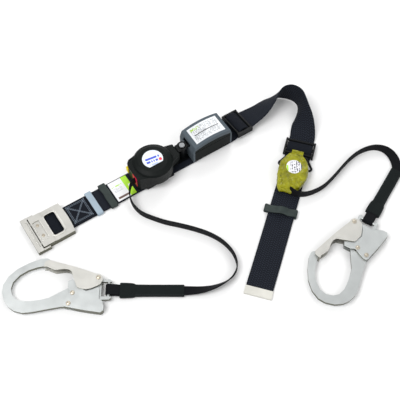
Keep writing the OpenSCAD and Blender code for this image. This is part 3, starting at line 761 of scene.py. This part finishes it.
def tape(number, route):
    """The free lanyard tape, swept as a flat strap, with its sleeve and loop."""
    stations = rolled_stations(route, 6)
    mesh = sweep(f"tape_{number}", stations, strap_section(TAPE_W, TAPE_T, 8))
    made = add_object(f"lanyard_tape_{number}", mesh, TAPE, "belt_set", (f"tape_{number}",))
    loop = tape_loop(number)
    cover, thread = sleeve(number)


# ------------------------------------------------------------------ belt
TURN_ROUTE = [
    [52.7, 147.9, 2.6, 0], [62, 154.8, 4, -3], [77, 166.2, 7, -8],
    [91, 175.3, 7.8, -10], [104, 183.5, 10.2, -16], [114, 190, 12, -21],
    [125, 198.5, 15, -29], [136, 209, 18.8, -39], [146.6, 219.3, 22, -50],
    [157.5, 228, 24.8, -64], [170, 233.5, 26, -78], [185, 234, 26.4, -88],
    [197.5, 228.5, 26.4, -92], [205.5, 218, 26.4, -96], [208.2, 203.5, 26, -102],
    [208.2, 186, 24, -116], [208.2, 168, 17, -142], [208.4, 153, 9.6, -160],
    [208, 141, 4.6, -173], [205.9, 130.9, 2.6, -180]
]


def belt():
    """One strap from inside the buckle to the end cap, with its half twist."""
    left = [[*on(LEFT_RUN, u, 0)[:2], 2.6, 0] for u in range(-38, 352, 30)]
    right = [[*on(RIGHT_RUN, x, y)[:2], 2.6, -180]
             for x, y in ((0, 0), (60, -0.8), (120, -2.2), (180, -3.9), (240, -5.7),
                          (290, -7.3), (311, -8))]
    stations = rolled_stations(left + TURN_ROUTE + right, 6)
    mesh = sweep("belt", stations, strap_section(50, 2.8, 24))
    add_object("belt_webbing", mesh, BELT, "belt_set", ("belt_left", "belt_turn", "belt_right"))


def patch():
    stations = [(on(LEFT_RUN, u, 0, BELT_TOP + 0.85), LEFT_RUN.to_3x3() @ Vector((0, 1, 0)),
                 Vector((0, 0, 1))) for u in range(4, 51, 2)]
    mesh = sweep("patch", stations, strap_section(48, 1.5, 20))
    add_object("sewn_patch", mesh, PATCH, "belt_set", ("stitch_patch",))
    z = BELT_TOP + 1.75
    lines = []
    for inset in (0, 2.4):
        low, high, half = 8 + inset, 46 - inset, 19.5 - inset
        ring = [(low, -half), (high, -half), (high, half), (low, half), (low, -half)]
        lines += [[on(LEFT_RUN, *a, z), on(LEFT_RUN, *b, z)] for a, b in zip(ring, ring[1:])]
    for shift in (-1.2, 1.2):
        for a, b in (((11, -16.5), (43, 16.5)), ((11, 16.5), (43, -16.5))):
            lines.append([on(LEFT_RUN, a[0] + shift, a[1], z), on(LEFT_RUN, b[0] + shift, b[1], z)])
    stitches("patch_stitches", lines, THREAD, pitch=3.4, length=2.6, thread=0.42)


def buckle_return():
    """The belt seen through the window of the buckle."""
    turn = LEFT_RUN.to_3x3()
    stations = [(on(LEFT_RUN, u, -1, z), turn @ Vector((0, 1, 0)), Vector((0, 0, 1)))
                for u, z in ((-39, 6.4), (-36, 6.6), (-31, 7.0), (-26, 7.1), (-21, 6.9),
                             (-16, 6.5), (-13, 6.2))]
    mesh = sweep("buckle_return", stations, strap_section(48.4, 1.9, 20))
    add_object("buckle_strap", mesh, PATCH, "belt_set")


def soft_ring(name, node, place, x_mid, y_mid, length, width, height, wall, wobble, material,
              hump=0.0):
    """A keeper: a rounded band round the belt, a little uneven like moulded rubber."""
    turn = place.to_3x3()
    along, across, up = turn @ Vector((1, 0, 0)), turn @ Vector((0, 1, 0)), Vector((0, 0, 1))
    low, high = 0.3, height
    centre = on(place, x_mid, y_mid, (low + high) / 2)
    half_w, half_h = width / 2 - wall / 2, (high - low) / 2 - wall / 2
    corner = min(2.2, half_h)
    loop = []
    for sx, sy, start in ((1, 1, 0), (-1, 1, 90), (-1, -1, 180), (1, -1, 270)):
        cx, cy = sx * (half_w - corner), sy * (half_h - corner)
        for k in range(5):
            a = math.radians(start + 90 * k / 4)
            loop.append((cx + corner * math.cos(a), cy + corner * math.sin(a),
                         math.cos(a), math.sin(a)))
    dense = []
    for i, item in enumerate(loop):
        nxt = loop[(i + 1) % len(loop)]
        gap = math.hypot(nxt[0] - item[0], nxt[1] - item[1])
        parts = max(1, round(gap / 4))
        dense += [tuple(p + (q - p) * k / parts for p, q in zip(item, nxt)) for k in range(parts)]
    stations = []
    for y, z, ny, nz in dense:
        out = (across * ny + up * nz).normalized()
        wave = noise.noise(Vector((y * 0.07, z * 0.2, x_mid))) * wobble
        rise = hump * math.exp(-(y / 9) ** 2) if nz > 0.5 else 0.0
        stations.append((centre + across * y + up * (z + rise) + along * wave, along, out))
    mesh = sweep(name, stations, strap_section(length - wobble, wall, 6), closed=True)
    add_object(name, mesh, material, nodes[node]["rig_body"], (node,))


def slider_wrap(name, node, place):
    """Strap that comes up through the slider and passes over its middle bar."""
    turn = place.to_3x3()
    path = curve_through([(-11.6, 5.2), (-10.6, 8.6), (-7.6, 11.4), (-3, 13.2), (2, 13.2),
                          (7, 11.6), (10.4, 8.8), (11.6, 5.2)], 4)
    stations = []
    for i, (x, z) in enumerate(path):
        a, b = path[max(i - 1, 0)], path[min(i + 1, len(path) - 1)]
        ahead = Vector((b[0] - a[0], 0, b[1] - a[1])).normalized()
        stations.append((on(place, x, 0, z), turn @ Vector((0, 1, 0)),
                         turn @ Vector((-ahead.z, 0, ahead.x))))
    mesh = sweep(name, stations, strap_section(49.6, 2.2, 24))
    add_object(name, mesh, PATCH, "belt_set", (node,))


# ------------------------------------------------------------------ pouch
LABEL_X, LABEL_Y = 59, -1
SWELL_LIMIT = 0.0012
CREASE_LIMIT = 2.6


def crumpled_pouch():
    """Film bag: the bag's outline, swollen a little by cloth pressure, then creased by noise."""
    outline = [(26, -17), (50, -29), (74, -29), (102, -24.5), (109, -19), (109, 3), (95, 19.5),
               (77, 27), (55, 28), (42, 22.5), (26, 11)]
    bm = bmesh.new()

    def height(x):
        return 28.2 if x < 85 else 28.2 - (x - 85) * 0.7

    low = [bm.verts.new(RIGHT_RUN @ Vector((x * MM, y * MM, (12.4 if x < 52 else 5.6) * MM)))
           for x, y in outline]
    high = [bm.verts.new(RIGHT_RUN @ Vector((x * MM, y * MM, height(x) * MM)))
            for x, y in outline]
    bm.faces.new(list(reversed(low)))
    bm.faces.new(high)
    for i in range(len(outline)):
        n = (i + 1) % len(outline)
        bm.faces.new((low[i], low[n], high[n], high[i]))
    bmesh.ops.recalc_face_normals(bm, faces=bm.faces)
    bmesh.ops.triangulate(bm, faces=bm.faces)
    mesh = bpy.data.meshes.new("pouch")
    bm.to_mesh(mesh)
    bm.free()
    mesh = modifiers_applied(mesh, ("REMESH", {"mode": "VOXEL", "voxel_size": 0.0026}))
    bag = bpy.data.objects.new("film_pouch", mesh)
    scene.collection.objects.link(bag)
    before = [v.co.copy() for v in mesh.vertices]
    cloth = bag.modifiers.new("cloth", "CLOTH")
    cloth.settings.quality = 4
    cloth.settings.use_pressure = True
    cloth.settings.uniform_pressure_force = 4
    cloth.settings.effector_weights.gravity = 0
    cloth.point_cache.frame_start = 1
    cloth.point_cache.frame_end = 14
    for step in range(1, 15):
        scene.frame_set(step)
    graph = bpy.context.evaluated_depsgraph_get()
    swollen = bag.evaluated_get(graph).to_mesh()
    after = [v.co.copy() for v in swollen.vertices]
    bag.modifiers.remove(cloth)
    scene.frame_set(1)
    for vertex, a, b in zip(mesh.vertices, before, after):
        step = b - a
        vertex.co = a + step * min(1.0, SWELL_LIMIT / max(step.length, 1e-9))
    normals = [v.normal.copy() for v in mesh.vertices]
    to_local = RIGHT_RUN.inverted()
    for vertex, normal in zip(mesh.vertices, normals):
        p = vertex.co * 1000
        q = to_local @ vertex.co / MM
        far = math.hypot(q.x - LABEL_X, q.y - LABEL_Y)
        free = min(1.0, max(0.0, (far - 15.5) / 6)) if normal.z > 0.3 else 1.0
        fold = abs(noise.noise(Vector((p.x * 0.06, p.y * 0.06, p.z * 0.09 + 3))))
        small = abs(noise.noise(Vector((p.x * 0.15, p.y * 0.15, p.z * 0.18 + 9))))
        seam = math.exp(-((far - 19) / 1.6) ** 2) * 0.9 if normal.z > 0.3 else 0.0
        crease = min(CREASE_LIMIT, free * (fold * 4.4 + small * 2.2) + seam)
        vertex.co += normal * (1.1 - crease) * MM
        flat = 0.0282 if normal.z > 0.3 else vertex.co.z
        vertex.co.z = max(flat + (vertex.co.z - flat) * free, 0.0044)
    mesh = modifiers_applied(mesh, ("SUBSURF", {"levels": 1, "render_levels": 1}))
    bag.data = mesh
    mesh.materials.clear()
    mesh.materials.append(FILM)
    smooth(mesh, 80)
    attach(bag, "belt_set")
    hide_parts("pouch_cover")


def pouch_tab():
    """The flat end of the film, tucked over the slider."""
    turn = RIGHT_RUN.to_3x3()
    stations = [(on(RIGHT_RUN, x, -1.2, z), turn @ Vector((0, 1, 0)), Vector((0, 0, 1)))
                for x, z in ((13.5, 17.2), (17, 18.2), (21, 20.5), (26, 23), (32, 24.4))]
    mesh = sweep("pouch_tab", stations, strap_section(23, 1.4, 12),
                 ripple=lambda s, x, y: noise.noise(Vector((s * 0.2, x * 0.2, 2.0))) * 0.9)
    add_object("pouch_tab", mesh, FILM, "belt_set")


def disc(name, place, x, y, z, radius, material, body, thick=0.5, dome=0.0):
    """A round label or rivet head, raised by `dome` in the middle."""
    mesh = bpy.data.meshes.new(name)
    bm = bmesh.new()
    rows, turns = 7, 64
    rings = []
    for r in range(1, rows + 1):
        ring = []
        for k in range(turns):
            a = TURN * k / turns
            px, py = radius * r / rows * math.cos(a), radius * r / rows * math.sin(a)
            pz = thick + dome * (1 - (r / rows) ** 2)
            ring.append(bm.verts.new(place @ Vector(((x + px) * MM, (y + py) * MM,
                                                     (z + pz) * MM))))
        rings.append(ring)
    mid = bm.verts.new(place @ Vector((x * MM, y * MM, (z + thick + dome) * MM)))
    for k in range(turns):
        n = (k + 1) % turns
        bm.faces.new((mid, rings[0][k], rings[0][n]))
        for a, b in zip(rings, rings[1:]):
            bm.faces.new((a[k], b[k], b[n], a[n]))
    low = [bm.verts.new(v.co - Vector((0, 0, thick * MM))) for v in rings[-1]]
    for k in range(turns):
        n = (k + 1) % turns
        bm.faces.new((rings[-1][k], low[k], low[n], rings[-1][n]))
    bm.faces.new(list(reversed(low)))
    bmesh.ops.remove_doubles(bm, verts=bm.verts, dist=1e-6)
    bmesh.ops.recalc_face_normals(bm, faces=bm.faces)
    bm.to_mesh(mesh)
    bm.free()
    smooth(mesh, 40)
    return add_object(name, mesh, material, body)


# ------------------------------------------------------------------ hooks
def hook(number):
    body = f"hook_{number}"
    rounded(f"{body}_frame", 1.5, ALLOY, segments=4, angle=40)
    rounded(f"{body}_gate", 0.5, ALLOY_PALE, angle=40)
    rounded(f"{body}_lever", 0.5, ALLOY, angle=40)
    rounded(f"{body}_pins", 0.45, RIVET)
    rounded(f"{body}_stop_pin", 0.45, RIVET)
    nodes[f"{body}_springs"].data.materials.clear()
    nodes[f"{body}_springs"].data.materials.append(STEEL)
    place = HOOKS[number]
    for name, (x, y), z, rider in (("gate_pin", (0, 0), 18.2, body),
                                   ("lever_pin", (-50, -48.5), 15.8, body),
                                   ("stop_pin", (-44.5, -28.5), 15.8, f"{body}_lever")):
        disc(f"{body}_{name}_head", place, x, y, z - 0.5, 2.6, RIVET, rider, thick=0.5, dome=0.5)


# ------------------------------------------------------------------ floor and light
def soft_light(name, place, aim, size, power):
    data = bpy.data.lights.new(name, "AREA")
    data.shape = "DISK"
    data.size = size
    data.energy = power
    lamp = bpy.data.objects.new(name, data)
    lamp.location = place
    lamp.rotation_euler = (Vector(aim) - Vector(place)).to_track_quat("-Z", "Y").to_euler()
    scene.collection.objects.link(lamp)


def studio():
    mesh = bpy.data.meshes.new("floor")
    edge = 6
    mesh.from_pydata([(-edge, -edge, 0), (edge, -edge, 0), (edge, edge, 0), (-edge, edge, 0)],
                     [], [(0, 1, 2, 3)])
    floor = bpy.data.objects.new("floor", mesh)
    floor.location.z = -0.0004
    scene.collection.objects.link(floor)
    shader = Shader("floor", (0.9, 0.9, 0.9), 0.85)
    mesh.materials.append(shader.material)
    soft_light("key", (-0.9, -0.5, 1.9), (0, 0, 0), 1.3, 26)
    soft_light("fill", (1.4, -0.9, 1.4), (0, 0, 0), 1.6, 12)
    soft_light("back", (0.2, 1.6, 1.3), (0, 0.05, 0), 1.2, 12)
    world = bpy.data.worlds.new("studio")
    world.use_nodes = True
    world.node_tree.nodes["Background"].inputs[0].default_value = (1, 1, 1, 1)
    world.node_tree.nodes["Background"].inputs[1].default_value = 0.55
    scene.world = world
    scene.view_settings.view_transform = "Standard"


# ------------------------------------------------------------------ build
set_camera()
tape(1, TAPE_1_ROUTE)
tape(2, TAPE_2_ROUTE)
belt()
patch()
buckle_return()
lip("window_lip", -26, 12.7, 25.7, 6.5, 12.3, 4.2, 2.0)
lip("recess_lip", -54, 7.6, 21.6, 2.4, 13.6, 1.6, 1.0)
soft_ring("sewn_loop", "sewn_keeper", LEFT_RUN, 58.5, 0, 13, 56, 8.4, 2.2, 0.3, KEEPER_BLUE)
soft_ring("rubber_loop_left", "keeper_left", LEFT_RUN, 89, 0, 16, 58, 9, 2.6, 1.6, KEEPER_RUBBER)
soft_ring("rubber_loop_right", "keeper_right", RIGHT_RUN, 148.5, -5.5, 18, 64, 9, 2.8, 2.2,
          KEEPER_RUBBER, hump=5.0)
leaning = (Matrix.Translation(Vector((77, 166.2, 7)) * MM)
           @ Matrix.Rotation(math.radians(33), 4, "Z")
           @ Matrix.Rotation(math.radians(-8), 4, "X")
           @ Matrix.Translation((0, 0, -2.6 * MM)))
slider_wrap("slider_strap_1", "slider_1_webbing", leaning)
slider_wrap("slider_strap_2", "slider_2_webbing", RIGHT_RUN)
crumpled_pouch()
pouch_tab()
disc("pouch_sticker", RIGHT_RUN, LABEL_X, LABEL_Y, 28.0, 15, pouch_label(), "belt_set", thick=0.7)
for number in HOOKS:
    hook(number)

FINISHES = {
    "belt_tip": (1.0, TIP), "belt_label": (0.2, size_label()),
    "buckle_frame": (1.6, ALLOY_PALE), "buckle_cover": (0.9, ALLOY_PALE),
    "buckle_rivets": (0.4, RIVET), "release_plate": (1.1, ALLOY_PALE),
    "reel_bracket": (0.4, FRAME_BLACK), "reel_mouth": (0.5, RED),
    "reel_lock_button": (0.8, YELLOW), "link_post": (0.8, LINK_STEEL),
    "link_ring": (0.9, FRAME_BLACK),
    "absorber_base": (2.0, CASE), "absorber_cover": (2.2, CASE),
    "absorber_label": (0.15, case_label()),
    "slider_1_frame": (0.8, FRAME_BLACK), "slider_2_frame": (0.8, FRAME_BLACK),
    "d_ring": (1.2, FRAME_BLACK), "reel_sticker": (0.15, reel_label()),
}
for node, (width, material) in FINISHES.items():
    rounded(node, width, material)
for node in ("reel_lower_shell", "reel_upper_shell"):
    rounded(node, 0.45, REEL_BLACK, angle=14)

PLAIN = {
    "slide_bar": STEEL, "release_springs": STEEL, "reel_screws": STEEL, "reel_shaft": STEEL,
    "reel_drum": HIDDEN, "reel_tape_roll": TAPE, "reel_ratchet": STEEL,
    "reel_power_spring": STEEL, "reel_pawl": STEEL, "reel_pawl_pin": STEEL,
    "tear_webbing": DARK_THREAD, "pouch_webbing": DARK_THREAD,
}
for node, material in PLAIN.items():
    nodes[node].data.materials.clear()
    nodes[node].data.materials.append(material)

studio()
